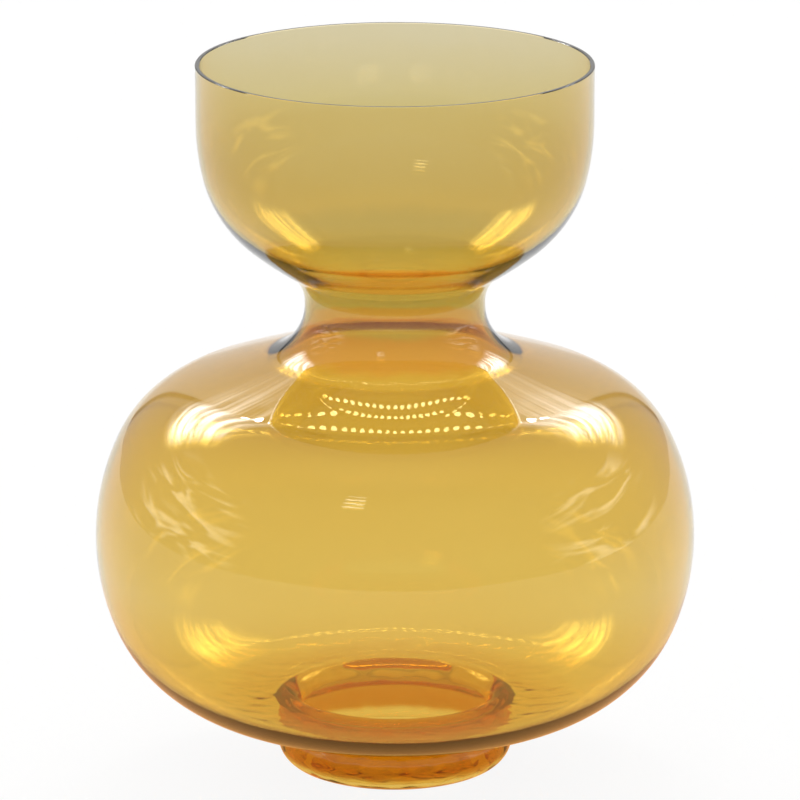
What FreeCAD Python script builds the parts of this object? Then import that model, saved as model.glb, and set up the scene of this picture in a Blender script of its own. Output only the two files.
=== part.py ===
import FreeCAD, Part
import os
from collections import namedtuple
from enum import IntEnum

import Sketcher

# Gourd vase of amber glass: an open upper cup, a short waisted neck, a squat round bulb and a low hollow foot.
# The walls are blown thin and thicken where the glass was gathered: at the cup's bottom, round the neck, at the
# bulb's underside and in the foot. A pinched waist under the bulb stands inwards as a round ridge over the
# foot's own hollow. Nothing on the vase moves.
#
# Its glass is modelled as the five stretches that it is worked in, each a revolved body that meets the next
# face to face across the wall: base disc, foot, bulb, neck and upper cup.
#
# The origin is the middle of the ring that the vase stands on, with Z up the axis. Lengths are in millimetres
# and angles in degrees.
#
# A flank is a stretch of wall from a widest circle in towards the axis. Seen in section each of its two skins
# is three arcs, each tangent to the next: side, corner and crown. The angles are those of the skin's outward
# normal above or below the horizontal where an arc ends. The bulb has a shoulder above its widest circle and
# an underside below it, and the cup has a basin.

SIZES = {
    # Foot and base disc
    "foot_radius": 49.2,
    "foot_edge_round": 11.4,
    "foot_shoulder_round": 11.0,
    "foot_waist_depth": 2.8,
    "foot_waist_height": 20.4,
    "foot_fillet": 4.0,
    "foot_wall": 4.2,
    "foot_waist_wall": 7.4,
    "foot_ridge_round": 6.0,
    "foot_roof_round": 8.0,
    "foot_floor_round": 6.0,
    "foot_rest_width": 3.8,
    "base_wall": 3.0,
    "base_push_up": 1.2,
    # Bulb
    "bulb_radius": 125.0,
    "bulb_wall": 1.9,
    "underside_side_radius": 93.0,
    "underside_side_angle": 23.0,
    "underside_corner_radius": 65.0,
    "underside_corner_angle": 70.5,
    "underside_crown_radius": 64.0,
    "underside_gain": 5.0,
    "underside_wedge_angle": 0.6,
    "shoulder_side_radius": 94.0,
    "shoulder_side_angle": 26.0,
    "shoulder_corner_radius": 51.5,
    "shoulder_corner_angle": 70.7,
    "shoulder_crown_radius": 650.0,
    "shoulder_gain": 3.5,
    "shoulder_wedge_angle": 1.2,
    # Neck
    "neck_radius": 37.4,
    "neck_wall": 2.2,
    "neck_waist_height": 1.5,
    "neck_lower_fillet": 22.0,
    "neck_upper_fillet": 14.4,
    # Upper cup
    "cup_radius": 82.0,
    "cup_wall": 1.9,
    "cup_band_height": 23.7,
    "basin_side_radius": 102.0,
    "basin_side_angle": 12.8,
    "basin_corner_radius": 53.2,
    "basin_corner_angle": 51.3,
    "basin_crown_radius": 166.0,
    "basin_gain": 3.0,
    "basin_wedge_angle": 0.8,
    "rim_bevel": 0.3,
}

Line = namedtuple("Line", "x z")
Arc = namedtuple("Arc", "x z radius centre")


class Vertex(IntEnum):
    """The numbers by which a sketch knows the two ends of a line or an arc."""

    START = 1
    END = 2


class Axis(IntEnum):
    """The numbers by which a sketch knows its own axes. The level one starts at the origin."""

    LEVEL = -1
    UPRIGHT = -2


def flank_cells(flank, widest, wall):
    """Formulas for a flank's two skins, in heights away from its widest circle.

    The inner skin runs one wall inside the outer one at the widest circle. Its corner is tighter by the
    flank's gain, and its crown leans by the wedge angle, so the wall thickens towards the axis."""
    cells = {
        f"{flank}_outer_widest": f"=Sizes.{widest}",
        f"{flank}_outer_side": f"=Sizes.{flank}_side_radius",
        f"{flank}_outer_corner": f"=Sizes.{flank}_corner_radius",
        f"{flank}_outer_crown": f"=Sizes.{flank}_crown_radius",
        f"{flank}_outer_corner_angle": f"=Sizes.{flank}_corner_angle",
        f"{flank}_inner_widest": f"=Sizes.{widest} - Sizes.{wall}",
        f"{flank}_inner_side": f"=Sizes.{flank}_side_radius - Sizes.{wall}",
        f"{flank}_inner_corner": f"=Sizes.{flank}_corner_radius - Sizes.{wall} - Sizes.{flank}_gain",
        f"{flank}_inner_crown": f"=Sizes.{flank}_crown_radius - Sizes.{wall}",
        f"{flank}_inner_corner_angle": f"=Sizes.{flank}_corner_angle + Sizes.{flank}_wedge_angle",
    }
    side_angle = f"Sizes.{flank}_side_angle"
    for skin in (f"{flank}_outer", f"{flank}_inner"):
        corner_angle = f"{skin}_corner_angle"
        cells[f"{skin}_side_x"] = f"={skin}_widest - {skin}_side"
        cells[f"{skin}_side_end_x"] = f"={skin}_side_x + {skin}_side * cos({side_angle})"
        cells[f"{skin}_side_end_z"] = f"={skin}_side * sin({side_angle})"
        cells[f"{skin}_corner_x"] = f"={skin}_side_x + ({skin}_side - {skin}_corner) * cos({side_angle})"
        cells[f"{skin}_corner_z"] = f"=({skin}_side - {skin}_corner) * sin({side_angle})"
        cells[f"{skin}_corner_end_x"] = f"={skin}_corner_x + {skin}_corner * cos({corner_angle})"
        cells[f"{skin}_corner_end_z"] = f"={skin}_corner_z + {skin}_corner * sin({corner_angle})"
        cells[f"{skin}_crown_x"] = f"={skin}_corner_x + ({skin}_corner - {skin}_crown) * cos({corner_angle})"
        cells[f"{skin}_crown_z"] = f"={skin}_corner_z + ({skin}_corner - {skin}_crown) * sin({corner_angle})"
    return cells


def crown_end_cells(skin):
    """Formulas for where a skin's crown arc ends, at its crown angle."""
    return {
        f"{skin}_crown_end_x": f"={skin}_crown_x + {skin}_crown * cos({skin}_crown_angle)",
        f"{skin}_crown_end_z": f"={skin}_crown_z + {skin}_crown * sin({skin}_crown_angle)",
    }


def crown_angle_formula(skin, tube):
    """The angle at which a skin's crown runs into the fillet that turns it along a tube of that radius."""
    return f"=acos(({tube} + {skin}_fillet - {skin}_crown_x) / ({skin}_crown + {skin}_fillet))"


def outer_tube_cells(flank, tube, fillet):
    """Formulas that end an outer skin at the fillet of the given radius on the tube that it leads to."""
    skin = f"{flank}_outer"
    cells = {
        f"{skin}_fillet": f"=Sizes.{fillet}",
        f"{skin}_crown_angle": crown_angle_formula(skin, tube),
        f"{flank}_tube_z": f"={skin}_crown_z + ({skin}_crown + {skin}_fillet) * sin({skin}_crown_angle)",
    }
    cells.update(crown_end_cells(skin))
    return cells


def inner_tube_cells(flank, bore):
    """Formulas that end an inner skin at a fillet level with the outer one, whose radius follows from that."""
    skin = f"{flank}_inner"
    reach = f"({bore} - {skin}_crown_x)"
    rise = f"({flank}_tube_z - {skin}_crown_z)"
    cells = {
        f"{skin}_fillet": f"=({reach} ^ 2 + {rise} ^ 2 - {skin}_crown ^ 2) / (2 * ({skin}_crown - {reach}))",
        f"{skin}_crown_angle": crown_angle_formula(skin, bore),
    }
    cells.update(crown_end_cells(skin))
    return cells


def tangent_point_cells(point, circle, circle_round, other, other_round):
    """Formulas for the point where two rounds meet, on the line between their middles."""
    share = f"{circle_round} / ({circle_round} + {other_round})"
    return {
        f"{point}_{way}": f"={circle}_{way} + ({other}_{way} - {circle}_{way}) * {share}"
        for way in ("x", "z")
    }


def waist_cells():
    """Formulas for the waist under the bulb, and for the bulb's height over it."""
    return {
        "waist_x": "=Sizes.foot_radius - Sizes.foot_waist_depth",
        **outer_tube_cells("underside", "waist_x", "foot_fillet"),
        "bulb_middle_z": "=Sizes.foot_waist_height + underside_tube_z",
    }


def joint_cells():
    """Formulas for the upright joint of bulb and foot, across the wall where the waist's fillet begins."""
    inner = "underside_inner"
    return {
        f"{inner}_crown_angle": f"=acos((underside_outer_crown_end_x - {inner}_crown_x) / {inner}_crown)",
        **crown_end_cells(inner),
        "foot_joint_outer_z": "=bulb_middle_z - underside_outer_crown_end_z",
        "foot_joint_inner_z": "=bulb_middle_z - underside_inner_crown_end_z",
    }


def foot_outer_cells():
    """Formulas for the foot's rounded shoulder and the waist's fillet over it."""
    rise = "sqrt((Sizes.foot_fillet + Sizes.foot_shoulder_round) ^ 2 - (crease_x - foot_shoulder_x) ^ 2)"
    return {
        "crease_x": "=waist_x + Sizes.foot_fillet",
        "crease_z": "=Sizes.foot_waist_height",
        "foot_shoulder_x": "=Sizes.foot_radius - Sizes.foot_shoulder_round",
        "foot_shoulder_z": f"=crease_z - {rise}",
        **tangent_point_cells("crease_end", "foot_shoulder", "Sizes.foot_shoulder_round",
                              "crease", "Sizes.foot_fillet"),
    }


def foot_inner_cells():
    """Formulas for the ridge inside the waist and the round roof of the foot's hollow under it."""
    skin = "underside_inner"
    ridge = "Sizes.foot_ridge_round"
    roof = "Sizes.foot_roof_round"
    drop = f"sqrt(({ridge} + {roof}) ^ 2 - (ridge_x - roof_x) ^ 2)"
    return {
        "ridge_x": f"=waist_x - Sizes.foot_waist_wall + {ridge}",
        "ridge_angle": f"=acos((ridge_x - {skin}_crown_x) / ({skin}_crown + {ridge}))",
        "ridge_z": f"=bulb_middle_z - {skin}_crown_z - ({skin}_crown + {ridge}) * sin(ridge_angle)",
        "ridge_start_x": f"={skin}_crown_x + {skin}_crown * cos(ridge_angle)",
        "ridge_start_z": f"=bulb_middle_z - {skin}_crown_z - {skin}_crown * sin(ridge_angle)",
        "hollow_x": "=Sizes.foot_radius - Sizes.foot_wall",
        "roof_x": f"=hollow_x - {roof}",
        "roof_z": f"=ridge_z - {drop}",
        **tangent_point_cells("ridge_end", "roof", roof, "ridge", ridge),
    }


def base_cells():
    """Formulas for the base disc inside the ring that the vase stands on."""
    return {
        "ground_x": "=Sizes.foot_radius - Sizes.foot_edge_round",
        "disc_x": "=ground_x - Sizes.foot_rest_width",
        "dome_radius": "=(disc_x ^ 2 + Sizes.base_push_up ^ 2) / (2 * Sizes.base_push_up)",
    }


def height_cells():
    """Formulas for the heights at which neck and cup stand on what is below them."""
    return {
        "neck_z": "=bulb_middle_z + shoulder_tube_z",
        "cup_widest_z": "=neck_z + Sizes.neck_waist_height + basin_tube_z",
    }


def place_cells():
    """All formulas, in an order in which each uses only the ones before it."""
    neck_bore = "(Sizes.neck_radius - Sizes.neck_wall)"
    return {
        **flank_cells("underside", "bulb_radius", "bulb_wall"),
        **waist_cells(),
        **joint_cells(),
        **foot_outer_cells(),
        **foot_inner_cells(),
        **base_cells(),
        **flank_cells("shoulder", "bulb_radius", "bulb_wall"),
        **outer_tube_cells("shoulder", "Sizes.neck_radius", "neck_lower_fillet"),
        **inner_tube_cells("shoulder", neck_bore),
        **flank_cells("basin", "cup_radius", "cup_wall"),
        **outer_tube_cells("basin", "Sizes.neck_radius", "neck_upper_fillet"),
        **inner_tube_cells("basin", neck_bore),
        **height_cells(),
    }


def add_sheet(doc, name, cells):
    """A sheet with one named cell a row: its name in column A and its number or formula in column B."""
    sheet = doc.addObject("Spreadsheet::Sheet", name)
    for row, (alias, content) in enumerate(cells.items(), start=1):
        sheet.set(f"A{row}", alias)
        sheet.set(f"B{row}", str(content))
        sheet.setAlias(f"B{row}", alias)
    return sheet


def number(owner, formula):
    """What a formula comes to in the document of that object."""
    value = owner.evalExpression(formula)
    return float(getattr(value, "Value", value))


def bind(sketch, constraint, formula):
    """Adds a constraint to the sketch and ties its size to the formula."""
    index = sketch.addConstraint(constraint)
    sketch.setExpression(f"Constraints[{index}]", formula)


def draw_arc(sketch, start, end, arc):
    """An arc between two points, with its centre to the left or the right of the way from start to end.

    Returns the arc and which of its own ends are its start and its end on that way."""
    radius = number(sketch, arc.radius)
    chord = end - start
    left = FreeCAD.Vector(-chord.y, chord.x, 0).normalize()
    depth = (radius ** 2 - (chord.Length / 2) ** 2) ** 0.5
    centre = start + chord / 2 + left * (depth if arc.centre == "left" else -depth)
    circle = Part.Circle(centre, FreeCAD.Vector(0, 0, 1), radius)
    first, last = (start, end) if arc.centre == "left" else (end, start)
    piece = Part.ArcOfCircle(circle, circle.parameter(first), circle.parameter(last))
    index = sketch.addGeometry(piece, False)
    bind(sketch, Sketcher.Constraint("Radius", index, radius), arc.radius)
    ends = (Vertex.START, Vertex.END)
    return (index, *ends) if arc.centre == "left" else (index, *reversed(ends))


def place_point(sketch, index, end, formula, kind, axis):
    """Puts one end of a sketch line at a distance from an axis, or on the axis itself."""
    if formula == "0":
        sketch.addConstraint(Sketcher.Constraint("PointOnObject", index, end, axis))
        return
    constraint = Sketcher.Constraint(kind, Axis.LEVEL, Vertex.START, index, end, number(sketch, formula))
    bind(sketch, constraint, formula)


def draw_outline(sketch, steps):
    """A closed outline through the steps, each a line or an arc that ends at its x and z."""
    points = [FreeCAD.Vector(number(sketch, step.x), number(sketch, step.z), 0) for step in steps]
    drawn = []
    for position, step in enumerate(steps):
        start, end = points[position - 1], points[position]
        if isinstance(step, Arc):
            drawn.append(draw_arc(sketch, start, end, step))
        else:
            drawn.append((sketch.addGeometry(Part.LineSegment(start, end), False), Vertex.START, Vertex.END))
    for position, (index, first, last) in enumerate(drawn):
        before, _, before_last = drawn[position - 1]
        sketch.addConstraint(Sketcher.Constraint("Coincident", before, before_last, index, first))
        place_point(sketch, index, last, steps[position].x, "DistanceX", Axis.UPRIGHT)
        place_point(sketch, index, last, steps[position].z, "DistanceY", Axis.LEVEL)


def revolved_body(doc, label, steps, height):
    """A body made by turning an outline about the axis, set at a height."""
    body = doc.addObject("PartDesign::Body", label)
    body.Label = label
    plane = next(item for item in body.Origin.OriginFeatures if item.Role == "XZ_Plane")
    sketch = body.newObject("Sketcher::SketchObject", f"{label}_outline")
    sketch.AttachmentSupport = [(plane, "")]
    sketch.MapMode = "FlatFace"
    draw_outline(sketch, steps)
    turn = body.newObject("PartDesign::Revolution", f"{label}_turn")
    turn.Profile = sketch
    turn.ReferenceAxis = (sketch, ["V_Axis"])
    if height != "0":
        body.setExpression("Placement.Base.z", height)
    return body


def towards_axis(skin, side, centre):
    """The steps of a skin's three arcs from its widest circle to its crown's end, side being "" up or "-" down."""
    return [
        Arc(f"Places.{skin}_{arc}_end_x", f"{side}Places.{skin}_{arc}_end_z", f"Places.{skin}_{arc}", centre)
        for arc in ("side", "corner", "crown")
    ]


def from_axis(skin, side, centre):
    """The same three arcs the other way, from the crown's end to the widest circle."""
    corner_end = (f"Places.{skin}_corner_end_x", f"{side}Places.{skin}_corner_end_z")
    side_end = (f"Places.{skin}_side_end_x", f"{side}Places.{skin}_side_end_z")
    return [
        Arc(*corner_end, f"Places.{skin}_crown", centre),
        Arc(*side_end, f"Places.{skin}_corner", centre),
        Arc(f"Places.{skin}_widest", "0", f"Places.{skin}_side", centre),
    ]


def crown_end(skin, side):
    """The straight step across the wall to where a skin's crown ends."""
    return Line(f"Places.{skin}_crown_end_x", f"{side}Places.{skin}_crown_end_z")


def bulb(doc):
    """The blown bulb, from its joint with the foot to its joint with the neck."""
    steps = [
        *from_axis("underside_outer", "-", "left"),
        *towards_axis("shoulder_outer", "", "left"),
        crown_end("shoulder_inner", ""),
        *from_axis("shoulder_inner", "", "right"),
        *towards_axis("underside_inner", "-", "right"),
        crown_end("underside_outer", "-"),
    ]
    return revolved_body(doc, "bulb", steps, "Places.bulb_middle_z")


def neck(doc):
    """The waisted neck, with the fillets that lead into the shoulder below and the cup above."""
    waist = "Sizes.neck_waist_height"
    bore = "Sizes.neck_radius - Sizes.neck_wall"
    steps = [
        Arc("Sizes.neck_radius", "0", "Places.shoulder_outer_fillet", "right"),
        Line("Sizes.neck_radius", waist),
        Arc("Places.basin_outer_crown_end_x", f"{waist} + Places.basin_tube_z - Places.basin_outer_crown_end_z",
            "Places.basin_outer_fillet", "right"),
        Line("Places.basin_inner_crown_end_x", f"{waist} + Places.basin_tube_z - Places.basin_inner_crown_end_z"),
        Arc(bore, waist, "Places.basin_inner_fillet", "left"),
        Line(bore, "0"),
        Arc("Places.shoulder_inner_crown_end_x", "Places.shoulder_inner_crown_end_z - Places.shoulder_tube_z",
            "Places.shoulder_inner_fillet", "left"),
        Line("Places.shoulder_outer_crown_end_x", "Places.shoulder_outer_crown_end_z - Places.shoulder_tube_z"),
    ]
    return revolved_body(doc, "neck", steps, "Places.neck_z")


def upper_cup(doc):
    """The open cup: a basin under an upright band, with a flat rim whose two edges are bevelled."""
    bore = "Sizes.cup_radius - Sizes.cup_wall"
    top = "Sizes.cup_band_height"
    bevel = "Sizes.rim_bevel"
    steps = [
        *from_axis("basin_outer", "-", "left"),
        Line("Sizes.cup_radius", f"{top} - {bevel}"),
        Line(f"Sizes.cup_radius - {bevel}", top),
        Line(f"{bore} + {bevel}", top),
        Line(bore, f"{top} - {bevel}"),
        Line("Places.basin_inner_widest", "0"),
        *towards_axis("basin_inner", "-", "right"),
        crown_end("basin_outer", "-"),
    ]
    return revolved_body(doc, "upper_cup", steps, "Places.cup_widest_z")


def foot(doc):
    """The hollow foot under the waist: a rounded wall outside, and inside it the ridge and the hollow's roof."""
    skin = "underside_inner"
    steps = [
        Arc("Places.crease_end_x", "Places.crease_end_z", "Sizes.foot_fillet", "left"),
        Arc("Sizes.foot_radius", "Places.foot_shoulder_z", "Sizes.foot_shoulder_round", "right"),
        Line("Sizes.foot_radius", "Sizes.foot_edge_round"),
        Arc("Places.ground_x", "0", "Sizes.foot_edge_round", "right"),
        Line("Places.disc_x", "0"),
        Line("Places.disc_x", "Sizes.base_wall"),
        Line("Places.hollow_x - Sizes.foot_floor_round", "Sizes.base_wall"),
        Arc("Places.hollow_x", "Sizes.base_wall + Sizes.foot_floor_round", "Sizes.foot_floor_round", "left"),
        Line("Places.hollow_x", "Places.roof_z"),
        Arc("Places.ridge_end_x", "Places.ridge_end_z", "Sizes.foot_roof_round", "left"),
        Arc("Places.ridge_start_x", "Places.ridge_start_z", "Sizes.foot_ridge_round", "right"),
        Arc(f"Places.{skin}_crown_end_x", "Places.foot_joint_inner_z", f"Places.{skin}_crown", "left"),
        Line("Places.underside_outer_crown_end_x", "Places.foot_joint_outer_z"),
    ]
    return revolved_body(doc, "foot", steps, "0")


def base_disc(doc):
    """The thin floor inside the foot, pushed up a little in its middle."""
    steps = [
        Arc("Places.disc_x", "0", "Places.dome_radius", "right"),
        Line("Places.disc_x", "Sizes.base_wall"),
        Arc("0", "Sizes.base_wall + Sizes.base_push_up", "Places.dome_radius", "left"),
        Line("0", "Sizes.base_push_up"),
    ]
    return revolved_body(doc, "base_disc", steps, "0")


def check(doc, bodies):
    """Stops where an object failed or a body's shape isn't one closed valid solid."""
    for item in doc.Objects:
        if "Invalid" in item.State or "Error" in item.State:
            raise RuntimeError(f"{item.Label} failed: {item.State}")
    for body in bodies:
        shape = body.Shape
        if shape.isNull() or not shape.isValid() or len(shape.Solids) != 1:
            raise RuntimeError(f"{body.Label} is not one valid solid")


def main():
    doc = FreeCAD.newDocument("gourd_vase")
    add_sheet(doc, "Sizes", SIZES)
    add_sheet(doc, "Places", place_cells())
    doc.recompute()
    bodies = [make(doc) for make in (base_disc, foot, bulb, neck, upper_cup)]
    doc.recompute()
    check(doc, bodies)
    os.makedirs("parts", exist_ok=True)
    for body in bodies:
        body.Shape.exportStep(os.path.join("parts", f"{body.Label}.step"))
        box = body.Shape.BoundBox
        print(f"{body.Label}: {body.Shape.Volume / 1000:.1f} cm3, z {box.ZMin:.2f} to {box.ZMax:.2f}, "
              f"radius {box.XMax:.2f}")


main()
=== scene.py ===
import logging
from dataclasses import dataclass, field
from enum import Enum
from math import acos, atan2, ceil, cos, degrees, hypot, pi, radians, sin, sqrt

import bpy
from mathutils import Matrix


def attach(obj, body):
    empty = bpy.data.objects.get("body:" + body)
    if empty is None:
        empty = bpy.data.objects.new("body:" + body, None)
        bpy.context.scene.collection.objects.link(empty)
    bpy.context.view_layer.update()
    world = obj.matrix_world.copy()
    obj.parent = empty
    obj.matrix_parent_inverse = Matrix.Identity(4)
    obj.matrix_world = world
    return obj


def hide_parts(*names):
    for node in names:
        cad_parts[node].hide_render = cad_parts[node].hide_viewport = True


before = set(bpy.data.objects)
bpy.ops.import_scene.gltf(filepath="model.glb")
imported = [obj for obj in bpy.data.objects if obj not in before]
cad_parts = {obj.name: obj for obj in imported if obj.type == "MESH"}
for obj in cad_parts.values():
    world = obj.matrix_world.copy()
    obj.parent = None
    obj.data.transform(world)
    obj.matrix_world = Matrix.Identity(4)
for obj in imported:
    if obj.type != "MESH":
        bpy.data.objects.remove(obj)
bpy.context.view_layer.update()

# Gourd vase of blown amber glass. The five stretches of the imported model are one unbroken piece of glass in
# the real vase, and light would see a face wherever two closed solids met, so they are dressed here as one
# closed skin: each stretch keeps its own class and sizes, and the vase draws them all in one outline.
# The outline is in millimetres and degrees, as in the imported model, and the pen turns it into metres. The
# finishes, the table and the camera are in metres.

LOG = logging.getLogger("gourd_vase")
MM = 0.001
HALF_TURN = 180.0
QUARTER_TURN = 90.0
WHITE = (1.0, 1.0, 1.0)
BLACK = (0.0, 0.0, 0.0)

Point = tuple[float, float]
Steps = tuple[tuple[float, float], ...]
Colour = tuple[float, float, float]
Socket = bpy.types.NodeSocket
Given = float | Socket
Shade = Colour | Socket


def on_circle(centre: Point, radius: float, angle: float) -> Point:
    """The point of a circle in the section plane at an angle from the level direction."""
    return centre[0] + radius * cos(radians(angle)), centre[1] + radius * sin(radians(angle))


def direction(start: Point, end: Point) -> float:
    """The angle at which one point of the section lies from another."""
    return degrees(atan2(end[1] - start[1], end[0] - start[0]))


class Pen:
    """One vertex that is drawn along in edit mode, straight by extrudes and round by spins."""

    DOT = 0.0001
    ARC_STEP = 3.3
    LINE_STEP = 4.0
    WELD = 2e-6
    CREASE = 35.0

    def __init__(self, name: str, start: Point) -> None:
        """Sets the pen down.

        Args:
            name: the name of the piece that it draws.
            start: its first point in the section, radius and height in millimetres.
        """
        bpy.ops.object.select_all(action="DESELECT")
        bpy.ops.mesh.primitive_plane_add(size=self.DOT, location=(start[0] * MM, 0.0, start[1] * MM))
        self.piece = bpy.context.object
        self.piece.name = self.piece.data.name = name
        bpy.ops.object.transform_apply(location=True, rotation=False, scale=False)
        bpy.ops.object.mode_set(mode="EDIT")
        bpy.ops.mesh.select_mode(type="VERT")
        bpy.ops.mesh.select_all(action="SELECT")
        bpy.ops.mesh.merge(type="CENTER")
        self.point = start

    def line(self, end: Point) -> None:
        """Draws a straight run, in steps short enough to shade evenly.

        Args:
            end: the point that it ends at.
        """
        across, up = end[0] - self.point[0], end[1] - self.point[1]
        steps = max(1, ceil(hypot(across, up) / self.LINE_STEP))
        step = (across / steps * MM, 0.0, up / steps * MM)
        for _ in range(steps):
            bpy.ops.mesh.extrude_region_move(TRANSFORM_OT_translate={"value": step})
        self.point = end

    def arc(self, centre: Point, turn: float) -> None:
        """Draws a round run.

        Args:
            centre: the middle of its circle.
            turn: how far it goes round, counter-clockwise as the section is seen with its radius to the
                right.
        """
        steps = max(2, ceil(abs(turn) / self.ARC_STEP))
        bpy.ops.mesh.spin(steps=steps, angle=radians(turn), center=(centre[0] * MM, 0.0, centre[1] * MM),
                          axis=(0.0, 1.0, 0.0))
        radius = hypot(self.point[0] - centre[0], self.point[1] - centre[1])
        self.point = on_circle(centre, radius, direction(centre, self.point) + turn)

    def turn_about_axis(self, steps: int) -> bpy.types.Object:
        """Turns the drawn outline about the upright axis and closes its seam and poles.

        Args:
            steps: how many steps the turn is made in.

        Returns:
            The closed piece, with its faces outwards.
        """
        bpy.ops.mesh.select_all(action="SELECT")
        bpy.ops.mesh.spin(steps=steps, angle=2 * pi, center=(0.0, 0.0, 0.0), axis=(0.0, 0.0, 1.0))
        bpy.ops.mesh.select_all(action="SELECT")
        bpy.ops.mesh.remove_doubles(threshold=self.WELD)
        bpy.ops.mesh.normals_make_consistent(inside=False)
        bpy.ops.object.mode_set(mode="OBJECT")
        bpy.ops.object.shade_smooth_by_angle(angle=radians(self.CREASE))
        return self.piece


@dataclass(frozen=True)
class Skin:
    """One skin of a flank, in from its widest circle: side, corner and crown, arcs tangent to each other.

    The angles are those of the skin's outward normal from the level direction where side and corner end."""

    widest: float
    side: float
    side_angle: float
    corner: float
    corner_angle: float
    crown: float

    @property
    def side_centre(self) -> Point:
        """The middle of the side's circle, level with the widest one."""
        return self.widest - self.side, 0.0

    @property
    def corner_centre(self) -> Point:
        """The middle of the corner's circle."""
        return on_circle(self.side_centre, self.side - self.corner, self.side_angle)

    @property
    def crown_centre(self) -> Point:
        """The middle of the crown's circle."""
        return on_circle(self.corner_centre, self.corner - self.crown, self.corner_angle)

    def crown_angle(self, tube: float, fillet: float) -> float:
        """The angle at which the crown runs into a fillet of that radius on a tube of that radius."""
        return degrees(acos((tube + fillet - self.crown_centre[0]) / (self.crown + fillet)))

    def tube_height(self, tube: float, fillet: float) -> float:
        """How far from the widest circle the tube is upright."""
        return self.crown_centre[1] + (self.crown + fillet) * sin(radians(self.crown_angle(tube, fillet)))

    def level_fillet(self, tube: float, height: float) -> float:
        """The fillet that brings the skin upright on a tube at a height from the widest circle."""
        reach, rise = tube - self.crown_centre[0], height - self.crown_centre[1]
        return (reach ** 2 + rise ** 2 - self.crown ** 2) / (2 * (self.crown - reach))


class Way(Enum):
    """On which side of its widest circle a flank lies."""

    UP = 1
    DOWN = -1


@dataclass(frozen=True)
class Flank:
    """A stretch of wall from a widest circle in towards the axis, thicker by its gain and wedge there."""

    outer: Skin
    wall: float
    gain: float
    wedge: float
    way: Way

    @property
    def inner(self) -> Skin:
        """The skin one wall inside the outer one at the widest circle."""
        skin, wall = self.outer, self.wall
        return Skin(skin.widest - wall, skin.side - wall, skin.side_angle, skin.corner - wall - self.gain,
                    skin.corner_angle + self.wedge, skin.crown - wall)

    def at(self, skin: Skin, centre: Point, widest_z: float) -> Point:
        """Where a circle of one of the skins has its middle, with the widest circle at a height."""
        return centre[0], widest_z + self.way.value * centre[1]

    def draw_in(self, pen: Pen, skin: Skin, widest_z: float, end_angle: float) -> None:
        """Draws a skin from its widest circle to its crown's end.

        Args:
            pen: the pen, on the widest circle.
            skin: the outer or the inner skin.
            widest_z: the height of the widest circle.
            end_angle: the angle at which the crown ends.
        """
        way = self.way.value
        pen.arc(self.at(skin, skin.side_centre, widest_z), way * skin.side_angle)
        pen.arc(self.at(skin, skin.corner_centre, widest_z), way * (skin.corner_angle - skin.side_angle))
        pen.arc(self.at(skin, skin.crown_centre, widest_z), way * (end_angle - skin.corner_angle))

    def draw_out(self, pen: Pen, skin: Skin, widest_z: float, start_angle: float) -> None:
        """Draws a skin the other way, from its crown's end to its widest circle.

        Args:
            pen: the pen, at the crown's end.
            skin: the outer or the inner skin.
            widest_z: the height of the widest circle.
            start_angle: the angle at which the crown ends.
        """
        way = self.way.value
        pen.arc(self.at(skin, skin.crown_centre, widest_z), way * (skin.corner_angle - start_angle))
        pen.arc(self.at(skin, skin.corner_centre, widest_z), way * (skin.side_angle - skin.corner_angle))
        pen.arc(self.at(skin, skin.side_centre, widest_z), -way * skin.side_angle)


@dataclass(frozen=True)
class Bulb:
    """The squat blown bulb: an underside below its widest circle and a shoulder above it."""

    radius: float = 125.0
    wall: float = 1.9

    @property
    def underside(self) -> Flank:
        """The flank from the widest circle down to the foot's waist."""
        outer = Skin(self.radius, side=93.0, side_angle=23.0, corner=65.0, corner_angle=70.5, crown=64.0)
        return Flank(outer, self.wall, gain=5.0, wedge=0.6, way=Way.DOWN)

    @property
    def shoulder(self) -> Flank:
        """The flank from the widest circle up to the neck."""
        outer = Skin(self.radius, side=94.0, side_angle=26.0, corner=51.5, corner_angle=70.7, crown=650.0)
        return Flank(outer, self.wall, gain=3.5, wedge=1.2, way=Way.UP)


@dataclass(frozen=True)
class Neck:
    """The short waisted tube between bulb and cup, with a fillet at each end."""

    radius: float = 37.4
    wall: float = 2.2
    waist_height: float = 1.5
    lower_fillet: float = 22.0
    upper_fillet: float = 14.4

    @property
    def bore(self) -> float:
        """The radius inside."""
        return self.radius - self.wall

    def fillet_centre(self, tube: float, fillet: float, height: float) -> Point:
        """The middle of a fillet that stands outside a tube."""
        return tube + fillet, height


@dataclass(frozen=True)
class UpperCup:
    """The open cup: a basin under an upright band, with a flat polished rim whose edges are just broken."""

    radius: float = 82.0
    wall: float = 1.9
    band_height: float = 23.7
    bevel: float = 0.3

    @property
    def basin(self) -> Flank:
        """The flank from the band down to the neck."""
        outer = Skin(self.radius, side=102.0, side_angle=12.8, corner=53.2, corner_angle=51.3, crown=166.0)
        return Flank(outer, self.wall, gain=3.0, wedge=0.8, way=Way.DOWN)

    def draw_band(self, pen: Pen, widest_z: float) -> None:
        """Draws the band up its outside, over the rim and down its inside.

        Args:
            pen: the pen, on the outside at the band's lower edge.
            widest_z: the height of that edge.
        """
        top = widest_z + self.band_height
        bore = self.radius - self.wall
        pen.line((self.radius, top - self.bevel))
        pen.line((self.radius - self.bevel, top))
        pen.line((bore + self.bevel, top))
        pen.line((bore, top - self.bevel))
        pen.line((bore, widest_z))


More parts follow.
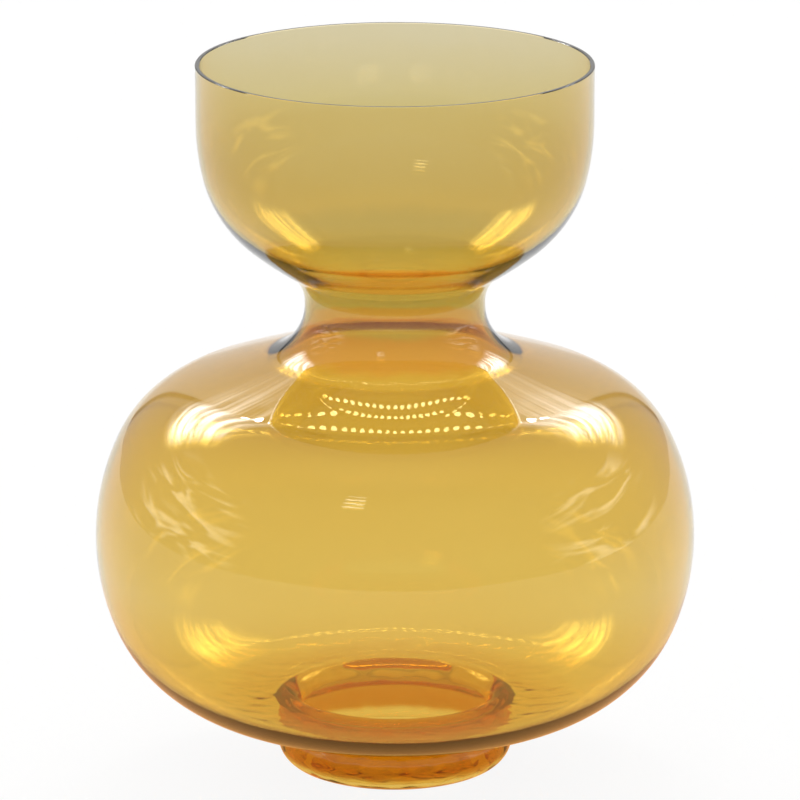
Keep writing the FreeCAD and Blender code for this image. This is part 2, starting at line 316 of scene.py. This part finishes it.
@dataclass(frozen=True)
class Foot:
    """The low hollow foot: a rounded wall, a waist that stands inwards as a ridge, a thin pushed-up floor."""

    radius: float = 49.2
    edge_round: float = 11.4
    shoulder_round: float = 11.0
    waist_depth: float = 2.8
    waist_height: float = 20.4
    fillet: float = 4.0
    wall: float = 4.2
    waist_wall: float = 7.4
    ridge_round: float = 6.0
    roof_round: float = 8.0
    floor_round: float = 6.0
    rest_width: float = 3.8
    floor_wall: float = 3.0
    push_up: float = 1.2

    @property
    def waist(self) -> float:
        """The outer radius of the waist."""
        return self.radius - self.waist_depth

    @property
    def ground(self) -> float:
        """The outer radius of the ring that the foot stands on."""
        return self.radius - self.edge_round

    @property
    def disc(self) -> float:
        """The radius of the pushed-up floor."""
        return self.ground - self.rest_width

    @property
    def dome_turn(self) -> float:
        """How far round the pushed-up floor's arc goes from the axis to its edge."""
        return 2 * degrees(atan2(self.push_up, self.disc))

    def dome_centre(self, top: float) -> Point:
        """The middle of the circle of the pushed-up floor, whose top is at a height on the axis."""
        return 0.0, top - self.disc / sin(radians(self.dome_turn))

    def seat(self, circle: Point, reach: float, x: float) -> Point:
        """The place below a circle's middle, at a radius, that lies at a reach from it."""
        return x, circle[1] - sqrt(reach ** 2 - (circle[0] - x) ** 2)

    def draw_outside(self, pen: Pen, crown: Point) -> float:
        """Draws the foot from the axis underneath to the bulb's underside.

        Args:
            pen: the pen, on the axis at the top of the push-up.
            crown: the middle of the underside's crown circle.

        Returns:
            The angle round the crown's circle at which the waist's fillet meets it.
        """
        pen.arc(self.dome_centre(self.push_up), -self.dome_turn)
        pen.line((self.ground, 0.0))
        pen.arc((self.ground, self.edge_round), QUARTER_TURN)
        crease = (self.waist + self.fillet, self.waist_height)
        shoulder = self.seat(crease, self.fillet + self.shoulder_round, self.radius - self.shoulder_round)
        leaning = direction(shoulder, crease)
        pen.line((self.radius, shoulder[1]))
        pen.arc(shoulder, leaning)
        meeting = direction(crown, crease)
        pen.arc(crease, meeting - leaning)
        return meeting

    def draw_inside(self, pen: Pen, crown: Point, crown_radius: float, corner_angle: float) -> None:
        """Draws the foot's inside, from the bulb's underside over the ridge to the axis on top of the floor.

        Args:
            pen: the pen, where the underside's inner corner ends.
            crown: the middle of the inner crown's circle.
            crown_radius: the radius of that circle.
            corner_angle: the angle below the level at which the inner corner ends.
        """
        ridge_x = self.waist - self.waist_wall + self.ridge_round
        ridge = self.seat(crown, crown_radius + self.ridge_round, ridge_x)
        hollow = self.radius - self.wall
        roof = self.seat(ridge, self.ridge_round + self.roof_round, hollow - self.roof_round)
        meeting, leaning = direction(crown, ridge), direction(roof, ridge)
        pen.arc(crown, meeting + corner_angle)
        pen.arc(ridge, leaning - meeting)
        pen.arc(roof, -leaning)
        pen.line((hollow, self.floor_wall + self.floor_round))
        pen.arc((hollow - self.floor_round, self.floor_wall + self.floor_round), -QUARTER_TURN)
        pen.line((self.disc, self.floor_wall))
        pen.arc(self.dome_centre(self.floor_wall + self.push_up), self.dome_turn)


class Nodes:
    """A shader's node tree, with short ways to add a node and to join two."""

    def __init__(self, tree: bpy.types.NodeTree) -> None:
        """Takes a tree and empties it."""
        self.tree = tree
        tree.nodes.clear()

    def add(self, kind: str, settings: dict[str, object] | None = None,
            **values: object) -> bpy.types.Node:
        """Adds a node.

        Args:
            kind: the node's type.
            settings: the node's own settings.
            values: what goes into its inputs, by their names with _ for a space, or by _ and a number. A
                socket is linked.

        Returns:
            The node.
        """
        node = self.tree.nodes.new(kind)
        for name, value in (settings or {}).items():
            setattr(node, name, value)
        for name, value in values.items():
            socket = node.inputs[int(name[1:]) if name[1:].isdigit() else name.replace("_", " ")]
            if isinstance(value, Socket):
                self.tree.links.new(value, socket)
            else:
                socket.default_value = value
        return node

    def math(self, operation: str, first: Given, second: Given = 0.0, third: Given = 0.0,
             clamp: bool = False) -> Socket:
        """The result of a sum on numbers or sockets."""
        settings = {"operation": operation, "use_clamp": clamp}
        return self.add("ShaderNodeMath", settings, _0=first, _1=second, _2=third).outputs[0]

    def between(self, value: Given, start: float, end: float, low: float = 0.0, high: float = 1.0,
                smooth: bool = True) -> Socket:
        """Brings a value from one range to another and holds it at the ends.

        Args:
            value: what is brought over.
            start: where the range starts that it comes from, which may lie above its end.
            end: where that range ends.
            low: what it becomes at the start.
            high: what it becomes at the end.
            smooth: whether it eases in and out.

        Returns:
            The new value.
        """
        settings = {"interpolation_type": "SMOOTHSTEP" if smooth else "LINEAR"}
        return self.add("ShaderNodeMapRange", settings, Value=value, From_Min=start, From_Max=end,
                        To_Min=low, To_Max=high).outputs[0]

    def near(self, value: Given, middle: float, half: float, edge: float) -> Socket:
        """A mask that is 1 where a value is near a middle, with a soft edge inside its half width."""
        off = self.math("ABSOLUTE", self.math("SUBTRACT", value, middle))
        return self.between(off, half, half - edge)

    def mix(self, share: Given, first: Shade, second: Shade, blend: str = "MIX") -> Socket:
        """Mixes two colours.

        Args:
            share: how much of the second one there is.
            first: a colour or a socket.
            second: a colour or a socket.
            blend: how the second one is laid over the first.

        Returns:
            The mixed colour.
        """
        pair = [one if isinstance(one, Socket) else (*one, 1.0) for one in (first, second)]
        settings = {"data_type": "RGBA", "blend_type": blend}
        return self.add("ShaderNodeMix", settings, _0=share, _6=pair[0], _7=pair[1]).outputs[2]

    def ramp(self, along: Socket, steps: tuple[tuple[float, Colour], ...]) -> Socket:
        """A run of colours along a scale from 0 to 1.

        Args:
            along: the place along the scale.
            steps: each step's place and colour, in order.

        Returns:
            The colour there.
        """
        ramp = self.add("ShaderNodeValToRGB", Fac=along)
        stops = ramp.color_ramp.elements
        for number, (at, shade) in enumerate(steps):
            last = number == len(steps) - 1
            stop = stops[0] if number == 0 else stops[-1] if last else stops.new(at)
            stop.position, stop.color = at, (*shade, 1.0)
        return ramp.outputs[0]


@dataclass(frozen=True)
class Noise:
    """Soft noise: how fine its detail goes, how rough that is and how far it is twisted."""

    detail: float
    roughness: float = 0.5
    twist: float = 0.0

    def add(self, nodes: Nodes, place: Socket, scale: Given = 1.0) -> Socket:
        """Adds the noise to a tree and gives its value."""
        return nodes.add("ShaderNodeTexNoise", Vector=place, Scale=scale, Detail=self.detail,
                         Roughness=self.roughness, Distortion=self.twist).outputs["Fac"]


@dataclass(frozen=True)
class BlownSurface:
    """The marks that blowing and tooling leave on glass: long soft drags round the axis, and dimples."""

    name: str = "blown_surface"
    inputs: tuple[str, ...] = ("Drag Scale", "Drag Stretch", "Dimple Scale", "Dimples")
    drag: Noise = Noise(2.0, 0.45, 0.6)
    dimple: Noise = Noise(1.0, 0.4)
    streak_top: float = 0.62
    streak_ease: float = 0.2

    def group(self) -> bpy.types.NodeTree:
        """Builds the marks once.

        Returns:
            The node group that gives them as a height and as streaks.
        """
        tree = bpy.data.node_groups.get(self.name)
        if tree:
            return tree
        tree = bpy.data.node_groups.new(self.name, "ShaderNodeTree")
        for socket in self.inputs:
            tree.interface.new_socket(socket, in_out="INPUT", socket_type="NodeSocketFloat")
        for socket in ("Height", "Streaks"):
            tree.interface.new_socket(socket, in_out="OUTPUT", socket_type="NodeSocketFloat")
        nodes = Nodes(tree)
        given = nodes.add("NodeGroupInput").outputs
        place = nodes.add("ShaderNodeTexCoord").outputs["Object"]
        split = nodes.add("ShaderNodeSeparateXYZ", Vector=place).outputs
        tall = nodes.math("MULTIPLY", split["Z"], given["Drag Stretch"])
        dragged = nodes.add("ShaderNodeCombineXYZ", X=split["X"], Y=split["Y"], Z=tall).outputs[0]
        drags = self.drag.add(nodes, dragged, given["Drag Scale"])
        dimples = self.dimple.add(nodes, place, given["Dimple Scale"])
        height = nodes.math("MULTIPLY_ADD", dimples, given["Dimples"], drags)
        streaks = nodes.math("SMOOTH_MIN", drags, self.streak_top, self.streak_ease)
        nodes.add("NodeGroupOutput", Height=height, Streaks=streaks)
        return tree


@dataclass(frozen=True)
class WallTint:
    """How deep the tint of one wall is at each height: deep in the foot and the neck's root, pale at the rim.
    The deeper, redder ring at the neck's root is painted, standing in for the light that crosses the thick
    fillet there twice.

    The heights wander up and down a little, as the blower's joints do."""

    name: str = "wall_tint"
    foot: Colour = (0.69, 0.33, 0.022)
    belly: Colour = (0.92, 0.83, 0.51)
    wall: Colour = (0.905, 0.805, 0.46)
    shoulder: Colour = (0.892, 0.755, 0.36)
    # painted: the redder ring at the neck's root stands in for light crossing the thick fillet twice
    root: Colour = (0.92, 0.62, 0.28)
    neck: Colour = (0.79, 0.745, 0.47)
    rim: Colour = (0.99, 0.97, 0.90)
    streak: Colour = (0.99, 0.965, 0.90)
    floor_top: float = 0.0045
    foot_low: float = 0.0075
    foot_top: float = 0.020
    waist_top: float = 0.027
    belly_at: float = 0.050
    equator: float = 0.099
    shoulder_at: float = 0.150
    root_low: float = 0.181
    root_top: float = 0.192
    neck_top: float = 0.224
    ease: float = 0.003
    rim_low: float = 0.262
    top: float = 0.3003
    patches: Noise = Noise(2.0)
    patch_scale: float = 90.0
    patch_mean: float = 0.5
    wander: float = 0.004

    @property
    def steps(self) -> tuple[tuple[float, Colour], ...]:
        """Each height at which the tint changes, as a share of the whole, and the tint there."""
        heights = (
            (0.0, self.wall), (self.floor_top, self.wall), (self.foot_low, self.foot),
            (self.foot_top, self.foot), (self.waist_top, self.wall), (self.belly_at, self.belly),
            (self.equator, self.wall), (self.shoulder_at, self.shoulder),
            (self.root_low - self.ease, self.shoulder), (self.root_low, self.root),
            (self.root_top, self.root), (self.root_top + self.ease, self.neck),
            (self.neck_top - self.ease, self.neck), (self.neck_top + self.ease, self.wall),
            (self.rim_low, self.wall), (self.top, self.rim),
        )
        return tuple((height / self.top, tint) for height, tint in heights)

    def group(self) -> bpy.types.NodeTree:
        """Builds the tint once.

        Returns:
            The node group that gives it as a colour, a little deeper in the streaks.
        """
        tree = bpy.data.node_groups.get(self.name)
        if tree:
            return tree
        tree = bpy.data.node_groups.new(self.name, "ShaderNodeTree")
        tree.interface.new_socket("Streaks", in_out="INPUT", socket_type="NodeSocketFloat")
        tree.interface.new_socket("Tint", in_out="OUTPUT", socket_type="NodeSocketColor")
        nodes = Nodes(tree)
        given = nodes.add("NodeGroupInput").outputs
        place = nodes.add("ShaderNodeTexCoord").outputs["Object"]
        height = nodes.add("ShaderNodeSeparateXYZ", Vector=place).outputs["Z"]
        off = nodes.math("SUBTRACT", self.patches.add(nodes, place, self.patch_scale), self.patch_mean)
        wandering = nodes.math("MULTIPLY_ADD", off, self.wander, height)
        level = nodes.math("DIVIDE", wandering, self.top, clamp=True)
        tint = nodes.mix(given["Streaks"], nodes.ramp(level, self.steps), self.streak, "MULTIPLY")
        nodes.add("NodeGroupOutput", Tint=tint)
        return tree


@dataclass(frozen=True)
class AmberGlass:
    """Clear body-tinted amber glass, fire polished, a little wavy, and scuffed where it stands.

    Its losses of light are per metre."""

    name: str = "amber_glass"
    slot: str = "amber_glass"
    red_loss: float = 22.0
    green_loss: float = 58.0
    blue_loss: float = 210.0
    refraction: float = 1.5
    wave_height: float = 0.00007
    drag_scale: float = 9.0
    drag_stretch: float = 5.0
    dimple_scale: float = 85.0
    foot_dimples: float = 14.0
    wall_dimples: float = 0.18
    foot_top: float = 0.021
    waist_top: float = 0.030
    scuff: float = 0.22
    scuff_top: float = 0.0004
    caught_after: float = 7.5
    painted_glow_colour: Colour = (0.50, 0.22, 0.08)

    def material(self) -> bpy.types.Material:
        """Mixes the glass: a tint in its body that grows with the light's way, and one in each wall.

        Rays that have bounced many times glow with a painted amber light, standing in for light that is
        trapped in a wall and would run on in it to come out amber.

        Returns:
            The glass as a material.
        """
        material = bpy.data.materials.new(self.name)
        material.use_nodes = True
        nodes = Nodes(material.node_tree)
        place = nodes.add("ShaderNodeTexCoord").outputs["Object"]
        height_up = nodes.add("ShaderNodeSeparateXYZ", Vector=place).outputs["Z"]
        dimples = nodes.between(height_up, self.waist_top, self.foot_top, self.wall_dimples,
                                self.foot_dimples)
        marks = nodes.add("ShaderNodeGroup", {"node_tree": BlownSurface().group()},
                          Drag_Scale=self.drag_scale, Drag_Stretch=self.drag_stretch,
                          Dimple_Scale=self.dimple_scale, Dimples=dimples).outputs
        tinted = nodes.add("ShaderNodeGroup", {"node_tree": WallTint().group()}, Streaks=marks["Streaks"])
        scuffed = nodes.between(height_up, self.scuff_top, 0.0, 0.0, self.scuff, smooth=False)
        bump = nodes.add("ShaderNodeBump", Strength=1.0, Distance=self.wave_height, Height=marks["Height"])
        depth = nodes.add("ShaderNodeLightPath").outputs["Ray Depth"]
        # painted glow: past that many bounces the glass lights itself amber, standing in for light trapped in
        # a wall
        painted_glow = nodes.mix(nodes.math("GREATER_THAN", depth, self.caught_after), BLACK, self.painted_glow_colour)
        shader = nodes.add("ShaderNodeBsdfPrincipled", Base_Color=tinted.outputs[0], Metallic=0.0,
                           Roughness=scuffed, IOR=self.refraction, Transmission_Weight=1.0,
                           Normal=bump.outputs[0], Emission_Color=painted_glow, Emission_Strength=1.0)
        losses = (self.red_loss, self.green_loss, self.blue_loss)
        kept = tuple(1.0 - loss / max(losses) for loss in losses)
        body = nodes.add("ShaderNodeVolumeAbsorption", Color=(*kept, 1.0), Density=max(losses))
        nodes.add("ShaderNodeOutputMaterial", Surface=shader.outputs[0], Volume=body.outputs[0])
        return material


@dataclass(frozen=True)
class GourdVase:
    """The whole vase: foot, bulb, neck and cup drawn as one closed outline and turned about the axis."""

    name: str = "vase_glass"
    foot: Foot = field(default_factory=Foot)
    bulb: Bulb = field(default_factory=Bulb)
    neck: Neck = field(default_factory=Neck)
    cup: UpperCup = field(default_factory=UpperCup)
    finish: AmberGlass = field(default_factory=AmberGlass)
    turn_steps: int = 224
    stands_for: tuple[str, ...] = ("base_disc", "foot", "bulb", "neck", "upper_cup")

    @property
    def bulb_z(self) -> float:
        """The height of the bulb's widest circle."""
        skin = self.bulb.underside.outer
        return self.foot.waist_height + skin.tube_height(self.foot.waist, self.foot.fillet)

    @property
    def neck_z(self) -> float:
        """The height at which the neck's waist starts."""
        return self.bulb_z + self.bulb.shoulder.outer.tube_height(self.neck.radius, self.neck.lower_fillet)

    @property
    def waist_top_z(self) -> float:
        """The height at which the neck's waist ends."""
        return self.neck_z + self.neck.waist_height

    @property
    def cup_z(self) -> float:
        """The height of the cup's band's lower edge."""
        return self.waist_top_z + self.cup.basin.outer.tube_height(self.neck.radius, self.neck.upper_fillet)

    def draw_outside(self, pen: Pen) -> None:
        """Draws the outer skin from the axis underneath to the band's lower edge.

        Args:
            pen: the pen, on the axis at the top of the push-up.
        """
        underside, shoulder, basin = self.bulb.underside, self.bulb.shoulder, self.cup.basin
        crown = underside.at(underside.outer, underside.outer.crown_centre, self.bulb_z)
        meeting = self.foot.draw_outside(pen, crown)
        underside.draw_out(pen, underside.outer, self.bulb_z, -meeting)
        lean = shoulder.outer.crown_angle(self.neck.radius, self.neck.lower_fillet)
        shoulder.draw_in(pen, shoulder.outer, self.bulb_z, lean)
        pen.arc(self.neck.fillet_centre(self.neck.radius, self.neck.lower_fillet, self.neck_z), -lean)
        pen.line((self.neck.radius, self.waist_top_z))
        lean = basin.outer.crown_angle(self.neck.radius, self.neck.upper_fillet)
        pen.arc(self.neck.fillet_centre(self.neck.radius, self.neck.upper_fillet, self.waist_top_z), -lean)
        basin.draw_out(pen, basin.outer, self.cup_z, lean)

    def draw_inside(self, pen: Pen) -> None:
        """Draws the inner skin from the band's lower edge to the axis on the floor.

        Args:
            pen: the pen, on the inside at the band's lower edge.
        """
        underside, shoulder, basin = self.bulb.underside, self.bulb.shoulder, self.cup.basin
        bore = self.neck.bore
        fillet = basin.inner.level_fillet(bore, self.cup_z - self.waist_top_z)
        lean = basin.inner.crown_angle(bore, fillet)
        basin.draw_in(pen, basin.inner, self.cup_z, lean)
        pen.arc(self.neck.fillet_centre(bore, fillet, self.waist_top_z), lean)
        pen.line((bore, self.neck_z))
        fillet = shoulder.inner.level_fillet(bore, self.neck_z - self.bulb_z)
        lean = shoulder.inner.crown_angle(bore, fillet)
        pen.arc(self.neck.fillet_centre(bore, fillet, self.neck_z), lean)
        shoulder.draw_out(pen, shoulder.inner, self.bulb_z, lean)
        skin = underside.inner
        pen.arc(underside.at(skin, skin.side_centre, self.bulb_z), -skin.side_angle)
        pen.arc(underside.at(skin, skin.corner_centre, self.bulb_z), skin.side_angle - skin.corner_angle)
        crown = underside.at(skin, skin.crown_centre, self.bulb_z)
        self.foot.draw_inside(pen, crown, skin.crown, skin.corner_angle)

    def build(self) -> bpy.types.Object:
        """Draws, turns and dresses the glass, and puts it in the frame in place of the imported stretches.

        Returns:
            The vase's glass.
        """
        pen = Pen(self.name, (0.0, self.foot.push_up))
        self.draw_outside(pen)
        self.cup.draw_band(pen, self.cup_z)
        self.draw_inside(pen)
        glass = pen.turn_about_axis(self.turn_steps)
        glass.data.materials.append(self.finish.material())
        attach(glass, "root")
        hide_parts(*self.stands_for)
        LOG.info("%s: %d faces, up to %.2f mm", glass.name, len(glass.data.polygons),
                 self.cup_z + self.cup.band_height)
        return glass


@dataclass(frozen=True)
class Table:
    """The pale table top, white to the eye and through the glass, with the vase's shadow kept on it."""

    name: str = "table_top"
    finish_name: str = "table_white"
    half: float = 3.0
    reflectance: float = 0.82
    seen: float = 0.91
    seen_through: float = 0.94
    mirrored: float = 0.85
    near: float = 0.30
    far: float = 1.00
    far_light: float = 0.70
    shaded: float = 0.12
    clear: float = 0.34
    # painted amber light, shown only to rays off the glass near the vase, standing in for the light the vase
    # throws on the table
    painted_pool: Colour = (1.0, 0.46, 0.12)

    def build(self) -> bpy.types.Object:
        """Lays the table top.

        Returns:
            The table top.
        """
        bpy.ops.object.select_all(action="DESELECT")
        bpy.ops.mesh.primitive_plane_add(size=2 * self.half, location=(0.0, 0.0, 0.0))
        top = bpy.context.object
        top.name = self.name
        top.data.materials.append(self.material())
        LOG.info("%s: laid", top.name)
        return top

    def material(self) -> bpy.types.Material:
        """Mixes matt white that lights itself a little for rays from the eye, through glass or off it.

        What glass mirrors of it close to the vase is painted amber light, standing in for the light that the
        vase throws there, and what is seen through glass far from the vase is a little darker.

        Returns:
            The white as a material.
        """
        material = bpy.data.materials.new(self.finish_name)
        material.use_nodes = True
        nodes = Nodes(material.node_tree)
        path = nodes.add("ShaderNodeLightPath").outputs
        through = path["Is Transmission Ray"]
        off_glass = nodes.math("SUBTRACT", path["Is Glossy Ray"], through, clamp=True)
        share = nodes.math("MULTIPLY", path["Is Camera Ray"], self.seen)
        share = nodes.math("MULTIPLY_ADD", through, self.seen_through, share)
        share = nodes.math("MULTIPLY_ADD", off_glass, self.mirrored, share, clamp=True)
        place = nodes.add("ShaderNodeTexCoord").outputs["Object"]
        reach = nodes.add("ShaderNodeVectorMath", {"operation": "LENGTH"}, _0=place).outputs["Value"]
        away = nodes.math("MULTIPLY", through, nodes.between(reach, self.near, self.far))
        # mask of the painted amber light: full within the shaded reach, none past the clear one
        under = nodes.math("MULTIPLY", off_glass, nodes.between(reach, self.clear, self.shaded))
        white = nodes.mix(away, WHITE, (self.far_light,) * 3)
        glow = nodes.add("ShaderNodeEmission", Color=nodes.mix(under, white, self.painted_pool), Strength=1.0)
        matt = nodes.add("ShaderNodeBsdfDiffuse", Color=(*(self.reflectance,) * 3, 1.0))
        mixed = nodes.add("ShaderNodeMixShader", _0=share, _1=matt.outputs[0], _2=glow.outputs[0])
        nodes.add("ShaderNodeOutputMaterial", Surface=mixed.outputs[0])
        return material


@dataclass(frozen=True)
class Patch:
    """A soft-edged patch of light on the tent: its middle, half widths and edges, round and up in degrees."""

    middle: Point
    half: Point
    edge: Point
    light: float

    def mask(self, nodes: Nodes, turn: Socket, rise: Socket) -> Socket:
        """A mask of the patch, from the angles round and up of each direction."""
        return nodes.math("MULTIPLY", nodes.near(turn, self.middle[0], self.half[0], self.edge[0]),
                          nodes.near(rise, self.middle[1], self.half[1], self.edge[1]))


@dataclass(frozen=True)
class Streaks:
    """Noise drawn out round the tent: how fine it is to the degree, round and up, and the range kept."""

    round_scale: float
    up_scale: float
    noise: Noise
    start: float
    end: float
    least: float = 0.0
    smooth: bool = True

    def mask(self, nodes: Nodes, turn: Socket, rise: Socket) -> Socket:
        """Draws the noise out and keeps its range.

        Args:
            nodes: the tree.
            turn: the angle of a direction round from straight behind the vase.
            rise: its angle up from the level.

        Returns:
            A mask of the streaks.
        """
        drawn = nodes.add("ShaderNodeCombineXYZ", X=nodes.math("MULTIPLY", turn, self.round_scale),
                          Y=nodes.math("MULTIPLY", rise, self.up_scale)).outputs[0]
        noise = self.noise.add(nodes, drawn)
        return nodes.between(noise, self.start, self.end, self.least, smooth=self.smooth)


@dataclass(frozen=True)
class LampRows:
    """Rows of small round lamps over the tent's back wall, which sink towards their ends.

    Their heights, step, size, half width and edge are in degrees."""

    heights: tuple[float, ...] = (51.6, 54.6)
    droop: float = 0.028
    step: float = 1.55
    size: float = 0.44
    half: float = 20.9
    edge: float = 0.1
    light: float = 190.0

    def mask(self, nodes: Nodes, turn: Socket, rise: Socket) -> Socket:
        """Adds the rows one by one.

        Args:
            nodes: the tree.
            turn: the angle of a direction round from straight behind the vase.
            rise: its angle up from the level.

        Returns:
            A mask of the lamps.
        """
        along = nodes.math("PINGPONG", turn, self.step / 2)
        lifted = nodes.math("MULTIPLY_ADD", nodes.math("MULTIPLY", turn, turn), self.droop, rise)
        shown: Given = 0.0
        for height in self.heights:
            off = nodes.math("SUBTRACT", lifted, height)
            square = nodes.math("MULTIPLY_ADD", off, off, nodes.math("MULTIPLY", along, along))
            shown = nodes.math("ADD", shown, nodes.math("LESS_THAN", nodes.math("SQRT", square), self.size))
        return nodes.math("MULTIPLY", shown, nodes.near(turn, 0.0, self.half, self.edge))


@dataclass(frozen=True)
class LightBox:
    """The light tent round the table: pale walls, patches at the sides, lamps behind, slatted window in front.

    The walls' steps lie along the half circle from straight behind the vase to the front, and the heights'
    steps from straight down to straight up."""

    name: str = "light_box"
    warmth: Colour = (1.0, 0.99, 0.975)
    walls: Steps = ((0.0, 1.0), (0.093, 1.0), (0.098, 0.30), (0.106, 0.30), (0.114, 0.72), (0.5, 0.66),
                    (0.72, 0.60), (1.0, 0.56))
    heights: Steps = ((0.0, 0.95), (0.46, 0.95), (0.50, 0.80), (0.60, 0.86), (0.80, 0.95), (1.0, 1.0))
    roof: float = 0.75
    roof_from: float = 0.80
    roof_full: float = 0.97
    glare: Patch = Patch(middle=(34.0, 36.0), half=(21.0, 13.0), edge=(14.0, 9.0), light=15.0)
    glare_streaks: Streaks = Streaks(round_scale=0.03, up_scale=0.45, noise=Noise(3.0, 0.6), start=0.38,
                                     end=0.66, least=0.15, smooth=False)
    sheen: Patch = Patch(middle=(88.0, 14.0), half=(34.0, 26.0), edge=(20.0, 14.0), light=2.2)
    sheen_streaks: Streaks = Streaks(round_scale=0.03, up_scale=0.11, noise=Noise(2.0, 0.5, 1.4),
                                     start=0.48, end=0.66)
    window: Patch = Patch(middle=(-160.0, 46.0), half=(6.0, 6.0), edge=(2.0, 2.0), light=7.0)
    slat_step: float = 1.6
    slat_gap: float = 0.55
    lamps: LampRows = LampRows()

    def band(self, nodes: Nodes, along: Socket, steps: Steps) -> Socket:
        """The light at a place along a scale from 0 to 1."""
        shades = tuple((at, (light,) * 3) for at, light in steps)
        return nodes.add("ShaderNodeRGBToBW", Color=nodes.ramp(along, shades)).outputs[0]

    def plain(self, nodes: Nodes, aside: Socket, up: Socket) -> Socket:
        """Lights the bare walls and the roof.

        Args:
            nodes: the tree.
            aside: the angle of a direction from straight behind the vase, to either side.
            up: how far it points up, from -1 to 1.

        Returns:
            The light without patches and lamps.
        """
        wall = self.band(nodes, nodes.math("DIVIDE", aside, HALF_TURN), self.walls)
        level = self.band(nodes, nodes.math("MULTIPLY_ADD", up, 0.5, 0.5), self.heights)
        overhead = nodes.between(up, self.roof_from, self.roof_full, smooth=False)
        roofed = nodes.add("ShaderNodeMix", _0=overhead, _2=wall, _3=self.roof).outputs[0]
        return nodes.math("MULTIPLY", roofed, level)

    def group(self) -> bpy.types.NodeTree:
        """Builds the tent's light.

        Returns:
            The node group that gives the light from each direction.
        """
        tree = bpy.data.node_groups.new(self.name, "ShaderNodeTree")
        tree.interface.new_socket("Direction", in_out="INPUT", socket_type="NodeSocketVector")
        tree.interface.new_socket("Light", in_out="OUTPUT", socket_type="NodeSocketColor")
        nodes = Nodes(tree)
        way = nodes.add("ShaderNodeSeparateXYZ", Vector=nodes.add("NodeGroupInput").outputs[0]).outputs
        turn = nodes.math("DEGREES", nodes.math("ARCTAN2", way["X"], way["Y"]))
        rise = nodes.math("DEGREES", nodes.math("ARCSINE", way["Z"]))
        aside = nodes.math("ABSOLUTE", turn)
        light = self.plain(nodes, aside, way["Z"])
        for patch, streaks in ((self.glare, self.glare_streaks), (self.sheen, self.sheen_streaks)):
            mask = nodes.math("MULTIPLY", patch.mask(nodes, aside, rise), streaks.mask(nodes, turn, rise))
            light = nodes.math("MULTIPLY_ADD", mask, patch.light, light)
        slats = nodes.math("LESS_THAN", nodes.math("PINGPONG", rise, self.slat_step), self.slat_gap)
        window = nodes.math("MULTIPLY", self.window.mask(nodes, turn, rise), slats)
        light = nodes.math("MULTIPLY_ADD", window, self.window.light, light)
        light = nodes.math("MULTIPLY_ADD", self.lamps.mask(nodes, turn, rise), self.lamps.light, light)
        warm = nodes.add("ShaderNodeVectorMath", {"operation": "SCALE"}, _0=self.warmth, Scale=light)
        nodes.add("NodeGroupOutput", Light=warm.outputs[0])
        return tree

    def build(self) -> bpy.types.World:
        """Hangs the tent in the scene, white to the eye.

        Returns:
            The world that lights as the tent does.
        """
        world = bpy.data.worlds.new(self.name)
        bpy.context.scene.world = world
        world.use_nodes = True
        nodes = Nodes(world.node_tree)
        way = nodes.add("ShaderNodeTexCoord").outputs["Generated"]
        light = nodes.add("ShaderNodeGroup", {"node_tree": self.group()}, Direction=way).outputs[0]
        lit = nodes.add("ShaderNodeBackground", Color=light, Strength=1.0)
        seen = nodes.add("ShaderNodeBackground", Color=(*WHITE, 1.0), Strength=1.0)
        to_eye = nodes.add("ShaderNodeLightPath").outputs["Is Camera Ray"]
        mixed = nodes.add("ShaderNodeMixShader", _0=to_eye, _1=lit.outputs[0], _2=seen.outputs[0])
        nodes.add("ShaderNodeOutputWorld", Surface=mixed.outputs[0])
        LOG.info("%s: hung", world.name)
        return world


@dataclass(frozen=True)
class PhotoCamera:
    """The camera at the photograph's height, distance and angle."""

    name: str = "photo_camera"
    place: tuple[float, float, float] = (0.0021, -2.575, 0.86185)
    down: float = 15.303
    sensor: float = 36.0
    focal_pixels: float = 6423.3
    frame_pixels: float = 800.0
    sees_to: float = 50.0

    def build(self) -> bpy.types.Object:
        """Sets the camera up and makes it the scene's.

        Returns:
            The camera.
        """
        data = bpy.data.cameras.new(self.name)
        data.sensor_width = self.sensor
        data.lens = self.focal_pixels / self.frame_pixels * self.sensor
        data.clip_end = self.sees_to
        camera = bpy.data.objects.new(self.name, data)
        camera.location = self.place
        camera.rotation_euler = (radians(QUARTER_TURN - self.down), 0.0, 0.0)
        bpy.context.collection.objects.link(camera)
        bpy.context.scene.camera = camera
        return camera


def main() -> None:
    """Builds the vase and its studio in order."""
    logging.basicConfig(level=logging.INFO, format="%(name)s: %(message)s")
    GourdVase().build()
    Table().build()
    LightBox().build()
    PhotoCamera().build()
    bpy.context.scene.view_settings.view_transform = "Standard"


if __name__ == "__main__":
    main()
